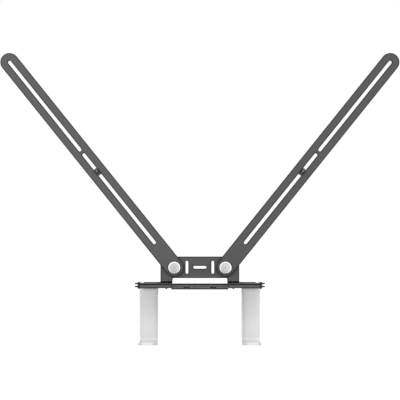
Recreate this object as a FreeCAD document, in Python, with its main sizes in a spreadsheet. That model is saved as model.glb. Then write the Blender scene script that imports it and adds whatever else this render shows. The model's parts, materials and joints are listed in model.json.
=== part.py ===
import FreeCAD, Part
import math
import os
import Sketcher

# Bracket that hangs a slim bar under a screen. Two slotted arms are screwed to the back of the
# screen and pivot on a folded plate. The plate carries a shelf, and two hooks hang from the shelf.
# Frame: origin midway between the two screen screws, on the arms' screen-side face.
# +X to the right as seen from the screen side, +Y away from the screen, +Z up. Millimetres.

doc = FreeCAD.newDocument("bar_bracket")
sheet = doc.addObject("Spreadsheet::Sheet", "Sizes")

sizeRows = [
    ("screenHoleSpacing", 400.0, "distance between the two screws in the screen's back"),
    ("screenScrewDiameter", 6.0, "M6 screws into the screen"),
    ("screenScrewReach", 9.5, "how far a screen screw stands out of the arm"),
    ("screenScrewHead", 12.0, "head diameter of a screen screw"),
    ("screenScrewHeadHeight", 4.0, "head height of a screen screw"),
    ("screenScrewNeck", 5.2, "neck that runs in an arm's slot, thinner than the thread"),
    ("screenScrewStart", 0.5, "arm's face to where the thread starts"),
    ("screenScrewSocket", 4.0, "hexagon socket in that head, across its flats"),
    ("screenWasherDiameter", 15.6, "washer under that head"),
    ("screenWasherThickness", 1.6, "washer under that head"),
    ("armTilt", 38.75, "lean of each arm from upright, in degrees"),
    ("armWidth", 36.0, "width of an arm, which is also the width of its round ends"),
    ("armLength", 514.0, "pivot to the centre of the round tip"),
    ("armThickness", 3.0, "steel of the arms"),
    ("armSlotWidth", 6.5, "clearance slot for the screen screw"),
    ("armSlotStart", 62.5, "pivot to the centre of the inner slot's first end"),
    ("armSlotWeb", 6.5, "bridge left between the two slots"),
    ("pivotSpacing", 100.0, "distance between the two pivots"),
    ("pivotHeadDiameter", 23.5, "flat head of a pivot bolt"),
    ("pivotHeadHeight", 2.0, "flat head of a pivot bolt"),
    ("pivotShoulderDiameter", 10.0, "shoulder that an arm turns on"),
    ("pivotThreadDiameter", 8.0, "M8 thread behind the shoulder"),
    ("pivotBoreClearance", 0.05, "between the shoulder and an arm's bore, on the radius"),
    ("pivotPlay", 0.05, "free space beside an arm, on each side"),
    ("pivotWasherThickness", 1.0, "slip washer between arm and plate"),
    ("pivotNutFlats", 13.0, "nut of a pivot, across its flats"),
    ("pivotNutHeight", 6.5, "nut of a pivot"),
    ("lockWasherDiameter", 14.8, "lock washer under that nut"),
    ("lockWasherThickness", 2.0, "lock washer under that nut"),
    ("plateSheet", 2.0, "steel of the folded plate"),
    ("bandHeight", 42.0, "height of that band, centred on the pivots"),
    ("bandCorner", 6.0, "radius of the band's top corners"),
    ("bandSlotWidth", 5.3, "width of the three slots in the band"),
    ("bandSlotLength", 25.5, "length of the three slots in the band"),
    ("bandSlotSpacing", 50.6, "distance between the two upright slots"),
    ("windowWidth", 107.2, "cable window between the plate's two feet"),
    ("footWidth", 23.5, "width of each foot, from the window to the end of the upright band"),
    ("windowCorner", 2.5, "radius of the window's top corners"),
    ("bendRadius", 2.5, "inside radius of the plate's folds"),
    ("flangeDrop", 28.0, "pivots down to the top of the plate's flange"),
    ("flangeStep", 31.4, "how far the flange reaches beside the band at the back"),
    ("flangeReach", 35.0, "band's front face to the flange's front edge"),
    ("flangeStrip", 6.0, "strip left in front of the window"),
    ("flangeRelief", 1.0, "relief cut beside the feet, past the fold"),
    ("shelfStep", 6.8, "how much further the shelf's front reaches on each side"),
    ("earReach", 9.7, "how far an ear stands out beside the shelf's front"),
    ("earBack", 16.0, "band's front face to the back of an ear"),
    ("earFront", 24.0, "band's front face to the front of an ear"),
    ("shelfGap", 4.0, "space between the flange and the tray"),
    ("traySheet", 2.0, "steel of the tray"),
    ("trayBack", 2.0, "band's front face to the tray's back edge"),
    ("trayReach", 40.0, "band's front face to the tray's front edge"),
    ("trayLip", 4.6, "height of the tray's turned-up front edges over its top"),
    ("trayLipBend", 1.0, "inside radius of that fold"),
    ("trayRelief", 2.0, "width of the notches between those edges and the tongue"),
    ("tongueReach", 56.0, "band's front face to the front of the tray's tongue"),
    ("tongueSlotWidth", 11.0, "width of the two slots in the tongue"),
    ("tongueSlotLength", 16.5, "length of the two slots in the tongue"),
    ("tongueSlotFront", 5.0, "tongue's front edge to the slots"),
    ("plateCorner", 1.5, "radius of the flange's and the tray's corners"),
    ("hookWidth", 35.6, "width of a hook"),
    ("hookSheet", 2.0, "steel of the hooks"),
    ("hookFace", 32.0, "band's front face to the front of a hook's leg"),
    ("hookDrop", 141.3, "pivots down to the underside of the hooks"),
    ("hookDepth", 27.0, "room between a hook's leg and its lip"),
    ("hookLip", 6.6, "height of a hook's lip over its underside"),
    ("hookLipCorner", 3.0, "radius of the lip's top corners"),
    ("hookBend", 6.0, "inside radius of the fold between leg and floor"),
    ("hookRim", 4.6, "depth of the stiffening rims beside a hook's leg"),
    ("strapWidth", 27.6, "width of a hook's strap under the tray"),
    ("strapBack", 6.0, "band's front face to the strap's end"),
    ("hookScrewSpacing", 16.0, "distance between the two screws of a hook"),
    ("hookScrewBack", 16.0, "band's front face to the hooks' screws"),
    ("smallScrewDiameter", 4.0, "M4 screws of the hooks and the shelf"),
    ("smallScrewHead", 8.0, "head of an M4 screw"),
    ("smallScrewHeadHeight", 2.3, "head of an M4 screw"),
    ("smallNutFlats", 7.0, "M4 nut across its flats"),
    ("smallNutHeight", 3.2, "M4 nut"),
    ("shelfScrewInset", 11.4, "window to the screw beside it"),
    ("shelfScrewBack", 12.0, "band's front face to those screws"),
    ("endScrewDiameter", 3.0, "M3 screws through the ears"),
    ("endScrewHead", 5.5, "head of an M3 screw"),
    ("endScrewHeadHeight", 1.9, "head of an M3 screw"),
    ("endNutFlats", 5.5, "M3 nut across its flats"),
    ("endNutHeight", 2.4, "M3 nut"),
    ("endScrewInset", 7.7, "end of an ear to the screw through it"),
    ("spacerWall", 1.5, "wall of the spacer tubes in the shelf"),
    ("screwClearance", 0.2, "between a screw and its hole, on the radius"),
    ("threadEnd", 1.5, "how far a screw's end stands out of its nut"),
    ("slideGap", 0.05, "free space between an arm and what slides along it"),
    ("edgeBreak", 0.4, "bevel of the arms' edges and of the nuts and screw ends"),
]


class Size:
    # A length that knows both its number and the expression that drives it.
    def __init__(self, value, text):
        self.value = float(value)
        self.text = text

    def __add__(self, other):
        return Size(self.value + number(other), "(%s + %s)" % (self.text, text(other)))

    def __sub__(self, other):
        return Size(self.value - number(other), "(%s - %s)" % (self.text, text(other)))

    def __mul__(self, other):
        return Size(self.value * number(other), "(%s * %s)" % (self.text, text(other)))

    def __truediv__(self, other):
        return Size(self.value / number(other), "(%s / %s)" % (self.text, text(other)))

    def __neg__(self):
        return Size(-self.value, "(-1 * %s)" % self.text)

    __radd__ = __add__
    __rmul__ = __mul__


def number(amount):
    return amount.value if isinstance(amount, Size) else float(amount)


def text(amount):
    return amount.text if isinstance(amount, Size) else repr(float(amount))


def tangent(angle):
    return Size(math.tan(math.radians(angle.value)), "tan(%s * 1 deg)" % angle.text)


class Sizes:
    pass


own = Sizes()
for row, (alias, value, note) in enumerate(sizeRows, start=1):
    sheet.set("A%d" % row, alias)
    sheet.set("B%d" % row, str(value))
    sheet.setAlias("B%d" % row, alias)
    sheet.set("C%d" % row, note)
    setattr(own, alias, Size(value, "Sizes." + alias))
doc.recompute()

# Heights, depths and widths that several pieces share. The hooks end flush with the shelf's front.
pivotHeight = -((own.screenHoleSpacing - own.pivotSpacing) / 2 / tangent(own.armTilt))
bandFront = own.armThickness + own.pivotPlay + own.pivotWasherThickness
flangeTop = -own.flangeDrop
flangeBottom = flangeTop - own.plateSheet
trayTop = flangeBottom - own.shelfGap
trayBottom = trayTop - own.traySheet
slotRun = own.armLength - own.armSlotStart - own.armSlotWidth - own.armSlotWeb
bandWidth = own.windowWidth + own.footWidth * 2
flangeWidth = bandWidth + own.flangeStep * 2
shelfWidth = flangeWidth + own.shelfStep * 2
earSpan = shelfWidth + own.earReach * 2
endScrewSpacing = earSpan - own.endScrewInset * 2
shelfScrewSpacing = own.windowWidth + own.shelfScrewInset * 2
hookSpacing = shelfWidth - own.hookWidth


def bind(thing, prop, amount):
    if isinstance(amount, Size):
        thing.setExpression(prop, amount.text)


def place(thing, x, y, z, axis=(0, 0, 1), angle=0.0):
    turn = FreeCAD.Rotation(FreeCAD.Vector(*axis), number(angle))
    thing.Placement = FreeCAD.Placement(FreeCAD.Vector(number(x), number(y), number(z)), turn)
    bind(thing, "Placement.Base.x", x)
    bind(thing, "Placement.Base.y", y)
    bind(thing, "Placement.Base.z", z)
    bind(thing, "Placement.Rotation.Angle", angle)


class Drawing:
    # A sketch on one of the body's own planes, with every point placed from the origin.
    def __init__(self, body, name, role, offset=0):
        self.sketch = body.newObject("Sketcher::SketchObject", name)
        planes = [feature for feature in body.Origin.OriginFeatures if feature.Role == role]
        self.sketch.AttachmentSupport = (planes[0], [""])
        self.sketch.MapMode = "FlatFace"
        self.sketch.AttachmentOffset = FreeCAD.Placement(
            FreeCAD.Vector(0, 0, number(offset)), FreeCAD.Rotation())
        bind(self.sketch, "AttachmentOffset.Base.z", offset)

    def hold(self, kind, places, amount):
        index = self.sketch.addConstraint(Sketcher.Constraint(kind, *places, number(amount)))
        bind(self.sketch, "Constraints[%d]" % index, amount)

    def pin(self, shape, end, u, v):
        self.hold("DistanceX", (-1, 1, shape, end), u)
        self.hold("DistanceY", (-1, 1, shape, end), v)

    def polygon(self, points):
        spots = [FreeCAD.Vector(number(u), number(v), 0) for u, v in points]
        first = self.sketch.GeometryCount
        count = len(points)
        for index, spot in enumerate(spots):
            line = Part.LineSegment(spot, spots[(index + 1) % count])
            self.sketch.addGeometry(line, False)
        for index, (u, v) in enumerate(points):
            following = first + (index + 1) % count
            join = Sketcher.Constraint("Coincident", first + index, 2, following, 1)
            self.sketch.addConstraint(join)
            self.pin(first + index, 1, u, v)
        return self

    def rectangle(self, left, right, low, high):
        return self.polygon([(left, low), (right, low), (right, high), (left, high)])

    def circle(self, u, v, diameter):
        centre = FreeCAD.Vector(number(u), number(v), 0)
        ring = Part.Circle(centre, FreeCAD.Vector(0, 0, 1), number(diameter) / 2)
        index = self.sketch.addGeometry(ring, False)
        self.pin(index, 3, u, v)
        self.hold("Diameter", (index,), diameter)
        return self

    def slot(self, start, end, width):
        begin = FreeCAD.Vector(number(start[0]), number(start[1]), 0)
        finish = FreeCAD.Vector(number(end[0]), number(end[1]), 0)
        radius = number(width) / 2
        heading = math.atan2(finish.y - begin.y, finish.x - begin.x)
        quarter = math.pi / 2
        side = FreeCAD.Vector(math.cos(heading + quarter), math.sin(heading + quarter), 0) * radius
        up = FreeCAD.Vector(0, 0, 1)
        near = Part.ArcOfCircle(
            Part.Circle(begin, up, radius), heading + quarter, heading + 3 * quarter)
        far = Part.ArcOfCircle(
            Part.Circle(finish, up, radius), heading - quarter, heading + quarter)
        right = Part.LineSegment(begin - side, finish - side)
        left = Part.LineSegment(finish + side, begin + side)
        ids = [self.sketch.addGeometry(shape, False) for shape in (near, right, far, left)]
        for index in range(4):
            join = Sketcher.Constraint("Tangent", ids[index], 2, ids[(index + 1) % 4], 1)
            self.sketch.addConstraint(join)
        self.pin(ids[0], 3, *start)
        self.pin(ids[2], 3, *end)
        self.hold("Radius", (ids[0],), width / 2)
        return self

    def hexagon(self, acrossFlats):
        corner = acrossFlats / math.sqrt(3)
        half = acrossFlats / 2
        points = [(corner, 0), (corner / 2, half), (-corner / 2, half),
                  (-corner, 0), (-corner / 2, -half), (corner / 2, -half)]
        return self.polygon(points)


def newBody(label):
    body = doc.addObject("PartDesign::Body", label)
    body.Label = label
    return body


def pad(body, name, drawing, length, side="One side", away=False):
    feature = body.newObject("PartDesign::Pad", name)
    feature.Profile = drawing.sketch
    feature.Length = number(length)
    bind(feature, "Length", length)
    feature.SideType = side
    feature.Reversed = away
    doc.recompute()
    return feature


def pocket(body, name, drawing, length=None, away=False):
    before = body.Shape.Volume
    feature = body.newObject("PartDesign::Pocket", name)
    feature.Profile = drawing.sketch
    if length is None:
        feature.Type = "ThroughAll"
        feature.SideType = "Symmetric"
    else:
        feature.Length = number(length)
        bind(feature, "Length", length)
        feature.Reversed = away
    doc.recompute()
    if not body.Shape.Volume < before:
        raise RuntimeError("%s cuts nothing from %s" % (name, body.Label))
    return feature


def revolve(body, name, drawing):
    feature = body.newObject("PartDesign::Revolution", name)
    feature.Profile = drawing.sketch
    feature.ReferenceAxis = (drawing.sketch, ["V_Axis"])
    feature.Angle = 360
    doc.recompute()
    return feature


def soften(body, kind, name, amount, chosen):
    # Rounds or bevels the edges of the body for which chosen(edge) holds.
    base = body.Tip
    names = ["Edge%d" % (index + 1) for index, edge in enumerate(base.Shape.Edges)
             if chosen(edge)]
    if not names:
        raise RuntimeError("%s finds no edge on %s" % (name, body.Label))
    feature = body.newObject("PartDesign::" + kind, name)
    feature.Base = (base, names)
    prop = "Radius" if kind == "Fillet" else "Size"
    setattr(feature, prop, number(amount))
    bind(feature, prop, amount)
    doc.recompute()
    return feature


def near(value, amount):
    return abs(value - number(amount)) < 1e-3


def lineAlong(edge, axis):
    if edge.Curve.TypeId != "Part::GeomLine":
        return False
    return abs(getattr(edge.Curve.Direction, axis)) > 0.999


def cornerPicker(axis, spots):
    # Straight edges along one axis at the given places on the other two.
    others = [letter for letter in "xyz" if letter != axis]

    def chosen(edge):
        if not lineAlong(edge, axis):
            return False
        middle = edge.CenterOfMass
        first = getattr(middle, others[0])
        second = getattr(middle, others[1])
        return any(near(first, a) and near(second, b) for a, b in spots)
    return chosen


def inPlane(axis, value):
    # Every edge that lies in one plane.
    def chosen(edge):
        places = [getattr(vertex.Point, axis) for vertex in edge.Vertexes]
        places.append(getattr(edge.CenterOfMass, axis))
        return all(near(place, value) for place in places)
    return chosen


def mirrored(points):
    # Closes a half outline, listed from the middle outwards, over the V axis.
    return points + [(-u, v) for u, v in reversed(points)]


def makeArm(label, side):
    body = newBody(label)
    outline = Drawing(body, label + "Outline", "XZ_Plane")
    outline.slot((0, 0), (0, own.armLength), own.armWidth)
    pad(body, label + "Plate", outline, own.armThickness, away=True)
    inner = own.armSlotStart
    innerEnd = inner + slotRun / 2
    outer = innerEnd + own.armSlotWidth + own.armSlotWeb
    cuts = Drawing(body, label + "Cuts", "XZ_Plane")
    cuts.slot((0, inner), (0, innerEnd), own.armSlotWidth)
    cuts.slot((0, outer), (0, own.armLength), own.armSlotWidth)
    cuts.circle(0, 0, own.pivotShoulderDiameter + own.pivotBoreClearance * 2)
    pocket(body, label + "Slots", cuts)
    rim = number(own.armWidth) / 2

    def rimEdge(edge):
        return any(abs(abs(vertex.Point.x) - rim) < 1e-3 for vertex in edge.Vertexes) \
            and (inPlane("y", 0)(edge) or inPlane("y", own.armThickness)(edge))
    soften(body, "Chamfer", label + "Edges", own.edgeBreak, rimEdge)
    place(body, own.pivotSpacing / 2 * side, 0, pivotHeight, (0, side, 0), own.armTilt)
    return body


def makeBackPlate():
    body = newBody("back_plate")
    sheetBack = own.plateSheet
    top = own.bandHeight / 2
    profile = Drawing(body, "plateProfile", "YZ_Plane")
    profile.polygon([(0, top), (sheetBack, top), (sheetBack, flangeBottom),
                     (-own.flangeReach, flangeBottom), (-own.flangeReach, flangeTop),
                     (0, flangeTop)])
    pad(body, "plateSheetPad", profile, earSpan, side="Symmetric")
    soften(body, "Fillet", "plateInnerFold", own.bendRadius,
           cornerPicker("x", [(0, flangeTop)]))
    soften(body, "Fillet", "plateOuterFold", own.bendRadius + own.plateSheet,
           cornerPicker("x", [(sheetBack, flangeBottom)]))

    spare = own.plateSheet * 2
    outside = earSpan / 2 + spare
    half = bandWidth / 2
    window = own.windowWidth / 2
    front = Drawing(body, "plateFrontCuts", "XZ_Plane")
    front.rectangle(half, outside, flangeTop, top + spare)
    front.rectangle(-outside, -half, flangeTop, top + spare)
    front.rectangle(-window, window, flangeTop, -top)
    run = (own.bandSlotLength - own.bandSlotWidth) / 2
    for side in (-1, 1):
        across = own.bandSlotSpacing / 2 * side
        front.slot((across, -run), (across, run), own.bandSlotWidth)
        front.circle(own.pivotSpacing / 2 * side, 0,
                     own.pivotThreadDiameter + own.screwClearance)
    front.slot((-run, 0), (run, 0), own.bandSlotWidth)
    pocket(body, "plateFrontPocket", front)

    relief = -(own.bendRadius + own.flangeRelief)
    above = Drawing(body, "plateTopCuts", "XY_Plane", offset=-top)
    above.rectangle(-window, window, -(own.flangeReach - own.flangeStrip), sheetBack + spare)
    for side in (-1, 1):
        above.polygon([(half * side, sheetBack + spare), (half * side, relief),
                       (flangeWidth / 2 * side, relief),
                       (flangeWidth / 2 * side, -own.earBack),
                       (outside * side, -own.earBack), (outside * side, sheetBack + spare)])
        above.polygon([(shelfWidth / 2 * side, -own.earFront),
                       (outside * side, -own.earFront),
                       (outside * side, -(own.flangeReach + spare)),
                       (shelfWidth / 2 * side, -(own.flangeReach + spare))])
        above.circle(endScrewSpacing / 2 * side, -endScrewPlace(),
                     own.endScrewDiameter + own.screwClearance * 2)
        above.circle(shelfScrewSpacing / 2 * side, -own.shelfScrewBack,
                     own.smallScrewDiameter + own.screwClearance * 2)
    pocket(body, "plateTopPocket", above, own.flangeDrop + spare - top)

    corners = [(shelfWidth / 2 * side, -own.flangeReach) for side in (-1, 1)]
    corners += [(earSpan / 2 * side, -own.earBack) for side in (-1, 1)]
    corners += [(earSpan / 2 * side, -own.earFront) for side in (-1, 1)]
    corners += [(flangeWidth / 2 * side, relief) for side in (-1, 1)]
    soften(body, "Fillet", "plateFlangeCorners", own.plateCorner, cornerPicker("z", corners))
    soften(body, "Fillet", "plateBandCorners", own.bandCorner,
           cornerPicker("y", [(half * side, top) for side in (-1, 1)]))
    soften(body, "Fillet", "plateWindowCorners", own.windowCorner,
           cornerPicker("y", [(window * side, -top) for side in (-1, 1)]))
    sink = (own.smallScrewHead - own.smallScrewDiameter) / 2 - own.screwClearance
    mouth = number(own.smallScrewDiameter) / 2 + number(own.screwClearance)

    def screwMouth(edge):
        return (edge.Curve.TypeId == "Part::GeomCircle" and near(edge.Curve.Radius, mouth)
                and near(edge.CenterOfMass.z, flangeTop))
    soften(body, "Chamfer", "plateCountersinks", sink, screwMouth)
    place(body, 0, bandFront, pivotHeight)
    return body


def endScrewPlace():
    return (own.earBack + own.earFront) / 2


def makeTray():
    body = newBody("shelf_tray")
    tongue = own.windowWidth / 2
    lipStart = tongue + own.trayRelief
    lipBack = own.traySheet - own.trayReach
    lipTop = trayTop + own.trayLip
    notchEnd = lipBack + own.trayLipBend * 2
    outline = Drawing(body, "trayOutline", "XY_Plane", offset=trayTop)
    outline.polygon(mirrored([
        (flangeWidth / 2, -own.trayBack), (flangeWidth / 2, -own.earBack),
        (earSpan / 2, -own.earBack), (earSpan / 2, -own.earFront),
        (shelfWidth / 2, -own.earFront), (shelfWidth / 2, -own.trayReach),
        (lipStart, -own.trayReach), (lipStart, notchEnd), (tongue, notchEnd),
        (tongue, -own.tongueReach)]))
    pad(body, "trayPad", outline, own.traySheet, away=True)

    lips = Drawing(body, "trayLips", "XY_Plane", offset=trayTop)
    lips.rectangle(lipStart, shelfWidth / 2, -own.trayReach, lipBack)
    lips.rectangle(-(shelfWidth / 2), -lipStart, -own.trayReach, lipBack)
    pad(body, "trayLipPad", lips, own.trayLip)
    soften(body, "Fillet", "trayLipInside", own.trayLipBend,
           cornerPicker("x", [(lipBack, trayTop)]))
    soften(body, "Fillet", "trayLipOutside", own.trayLipBend + own.traySheet,
           cornerPicker("x", [(-own.trayReach, trayBottom)]))
    lipEnds = [(spot * side, lipTop) for spot in (lipStart, shelfWidth / 2) for side in (-1, 1)]
    soften(body, "Fillet", "trayLipCorners", own.plateCorner, cornerPicker("y", lipEnds))

    holes = Drawing(body, "trayHoles", "XY_Plane", offset=trayTop)
    slotFront = -(own.tongueReach - own.tongueSlotFront - own.tongueSlotWidth / 2)
    slotBack = slotFront + own.tongueSlotLength - own.tongueSlotWidth
    for side in (-1, 1):
        across = own.bandSlotSpacing / 2 * side
        holes.slot((across, slotBack), (across, slotFront), own.tongueSlotWidth)
        holes.circle(endScrewSpacing / 2 * side, -endScrewPlace(),
                     own.endScrewDiameter + own.screwClearance * 2)
        holes.circle(shelfScrewSpacing / 2 * side, -own.shelfScrewBack,
                     own.smallScrewDiameter + own.screwClearance * 2)
        for along in (-1, 1):
            holes.circle(hookSpacing / 2 * side + own.hookScrewSpacing / 2 * along,
                         -own.hookScrewBack, own.smallScrewDiameter + own.screwClearance * 2)
    pocket(body, "trayPocket", holes, own.traySheet)

    corners = [(flangeWidth / 2 * side, -own.trayBack) for side in (-1, 1)]
    corners += [(earSpan / 2 * side, -own.earBack) for side in (-1, 1)]
    corners += [(earSpan / 2 * side, -own.earFront) for side in (-1, 1)]
    corners += [(tongue * side, -own.tongueReach) for side in (-1, 1)]
    soften(body, "Fillet", "trayCorners", own.plateCorner, cornerPicker("z", corners))
    place(body, 0, bandFront, pivotHeight)
    return body


def makeHook(label, side):
    body = newBody(label)
    sheetHook = own.hookSheet
    legFront = -own.hookFace
    legBack = legFront + sheetHook
    lipBack = legFront - own.hookDepth
    lipFront = lipBack - sheetHook
    bottom = -own.hookDrop
    floor = bottom + sheetHook
    lipTop = bottom + own.hookLip
    strapBottom = trayBottom - sheetHook
    profile = Drawing(body, label + "Profile", "YZ_Plane")
    profile.polygon([(-own.strapBack, trayBottom), (legFront, trayBottom), (legFront, floor),
                     (lipBack, floor), (lipBack, lipTop), (lipFront, lipTop),
                     (lipFront, bottom), (legBack, bottom), (legBack, strapBottom),
                     (-own.strapBack, strapBottom)])
    pad(body, label + "Sheet", profile, own.hookWidth, side="Symmetric")
    soften(body, "Fillet", label + "TightInside", own.bendRadius,
           cornerPicker("x", [(legBack, strapBottom), (lipBack, floor)]))
    soften(body, "Fillet", label + "TightOutside", own.bendRadius + sheetHook,
           cornerPicker("x", [(legFront, trayBottom), (lipFront, bottom)]))
    soften(body, "Fillet", label + "WideInside", own.hookBend,
           cornerPicker("x", [(legFront, floor)]))
    soften(body, "Fillet", label + "WideOutside", own.hookBend + sheetHook,
           cornerPicker("x", [(legBack, bottom)]))

    half = own.hookWidth / 2
    soften(body, "Fillet", label + "LipCorners", own.hookLipCorner,
           cornerPicker("y", [(half * edge, lipTop) for edge in (-1, 1)]))

    strap = Drawing(body, label + "StrapCuts", "XY_Plane", offset=trayBottom)
    strapFront = legBack + own.bendRadius
    for edge in (-1, 1):
        strap.rectangle(own.strapWidth / 2 * edge, (own.hookWidth / 2 + sheetHook) * edge,
                        strapFront, -own.strapBack + sheetHook)
        strap.circle(own.hookScrewSpacing / 2 * edge, -own.hookScrewBack,
                     own.smallScrewDiameter + own.screwClearance * 2)
    pocket(body, label + "Strap", strap, sheetHook)

    rimTop = strapBottom - own.bendRadius
    rimLow = lipTop - own.hookLipCorner
    rimFront = legFront - own.hookRim
    middle = legFront + sheetHook / 2
    for edge, plane in ((-1, -own.hookWidth / 2), (1, own.hookWidth / 2 - sheetHook)):
        rim = Drawing(body, "%sRim%d" % (label, edge + 1), "YZ_Plane", offset=plane)
        rim.polygon([(middle, rimTop), (rimFront, rimTop - own.hookRim), (rimFront, rimLow),
                     (lipBack, rimLow), (lipBack, bottom + sheetHook / 2),
                     (legFront - own.hookBend, bottom + sheetHook / 2),
                     (middle, floor + own.hookBend)])
        pad(body, "%sRimPad%d" % (label, edge + 1), rim, sheetHook)
    soften(body, "Fillet", label + "RimBend", own.hookLipCorner,
           cornerPicker("x", [(rimFront, rimLow)]))
    place(body, hookSpacing / 2 * side, bandFront, pivotHeight)
    return body


def makeRing(label, outside, inside, thickness):
    body = newBody(label)
    ring = Drawing(body, label + "Outline", "XY_Plane")
    ring.circle(0, 0, outside).circle(0, 0, inside)
    pad(body, label + "Pad", ring, thickness)
    return body


def makeNut(label, flats, height, bore):
    body = newBody(label)
    outline = Drawing(body, label + "Outline", "XY_Plane")
    outline.hexagon(flats).circle(0, 0, bore)
    pad(body, label + "Pad", outline, height)
    return body


def makeScrew(label, head, headHeight, shank, length):
    # The head stands on the plane z = 0 and the shank hangs below.
    body = newBody(label)
    turned = Drawing(body, label + "Profile", "XZ_Plane")
    turned.polygon([(0, headHeight), (head / 2, headHeight), (head / 2, 0), (shank / 2, 0),
                    (shank / 2, -length), (0, -length)])
    revolve(body, label + "Turned", turned)
    return body


def cutSocket(body, flats, top, depth):
    drive = Drawing(body, body.Label + "Drive", "XY_Plane", offset=top)
    drive.hexagon(flats)
    pocket(body, body.Label + "Socket", drive, depth)


def makePivotBolt(label, side):
    head = own.pivotHeadDiameter / 2
    shoulder = own.pivotShoulderDiameter / 2
    thread = own.pivotThreadDiameter / 2
    bevel = own.pivotHeadHeight / 4
    seat = -(bandFront + own.pivotPlay)
    end = seat - own.plateSheet - own.lockWasherThickness - own.pivotNutHeight - own.threadEnd
    body = newBody(label)
    turned = Drawing(body, label + "Profile", "XZ_Plane")
    turned.polygon([(0, own.pivotHeadHeight), (head - bevel, own.pivotHeadHeight),
                    (head, own.pivotHeadHeight - bevel), (head, 0), (shoulder, 0),
                    (shoulder, seat), (thread, seat), (thread, end), (0, end)])
    revolve(body, label + "Turned", turned)
    place(body, own.pivotSpacing / 2 * side, -own.pivotPlay, pivotHeight, (1, 0, 0), 90)
    return body


def group(label, bodies):
    bundle = doc.addObject("Part::Compound", label)
    bundle.Label = label
    bundle.Links = bodies
    doc.recompute()
    return bundle


nodes = [makeBackPlate(), makeTray()]
for name, side in (("left", -1), ("right", 1)):
    nodes.append(makeArm(name + "_arm", side))
    nodes.append(makeHook(name + "_hook", side))
    nodes.append(makePivotBolt(name + "_pivot_bolt", side))
    pivotX = own.pivotSpacing / 2 * side

    washer = makeRing(name + "_pivot_washer", own.pivotHeadDiameter,
                      own.pivotShoulderDiameter + own.pivotBoreClearance * 2,
                      own.pivotWasherThickness)
    place(washer, pivotX, bandFront, pivotHeight, (1, 0, 0), 90)
    nodes.append(washer)

    behind = bandFront + own.plateSheet
    lock = makeRing(name + "_lock_washer", own.lockWasherDiameter,
                    own.pivotThreadDiameter + own.screwClearance * 2, own.lockWasherThickness)
    place(lock, pivotX, behind, pivotHeight, (-1, 0, 0), 90)
    nodes.append(lock)

    nut = makeNut(name + "_pivot_nut", own.pivotNutFlats, own.pivotNutHeight,
                  own.pivotThreadDiameter)
    soften(nut, "Chamfer", name + "NutBevel", own.edgeBreak,
           lambda edge: edge.Curve.TypeId == "Part::GeomLine"
           and near(edge.CenterOfMass.z, own.pivotNutHeight))
    place(nut, pivotX, behind + own.lockWasherThickness, pivotHeight, (-1, 0, 0), 90)
    nodes.append(nut)

    screwX = own.screenHoleSpacing / 2 * side
    washerSeat = own.armThickness + own.slideGap
    headSeat = washerSeat + own.screenWasherThickness
    screw = makeScrew(name + "_screen_screw", own.screenScrewHead, own.screenScrewHeadHeight,
                      own.screenScrewDiameter, headSeat + own.screenScrewReach)
    soften(screw, "Chamfer", name + "ScrewCrown", own.screenScrewHeadHeight / 4,
           inPlane("z", own.screenScrewHeadHeight))
    soften(screw, "Chamfer", name + "ScrewEnd", own.edgeBreak,
           inPlane("z", -(headSeat + own.screenScrewReach)))
    groove = Drawing(screw, name + "ScrewNeck", "XY_Plane")
    groove.circle(0, 0, own.screenScrewHead).circle(0, 0, own.screenScrewNeck)
    pocket(screw, name + "ScrewGroove", groove, headSeat + own.screenScrewStart)
    cutSocket(screw, own.screenScrewSocket, own.screenScrewHeadHeight,
              own.screenScrewHeadHeight / 2)
    place(screw, screwX, headSeat, 0, (-1, 0, 0), 90)
    nodes.append(screw)

    washer = makeRing(name + "_screen_washer", own.screenWasherDiameter,
                      own.screenScrewDiameter + own.screwClearance * 2,
                      own.screenWasherThickness)
    place(washer, screwX, washerSeat, 0, (-1, 0, 0), 90)
    nodes.append(washer)

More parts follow.
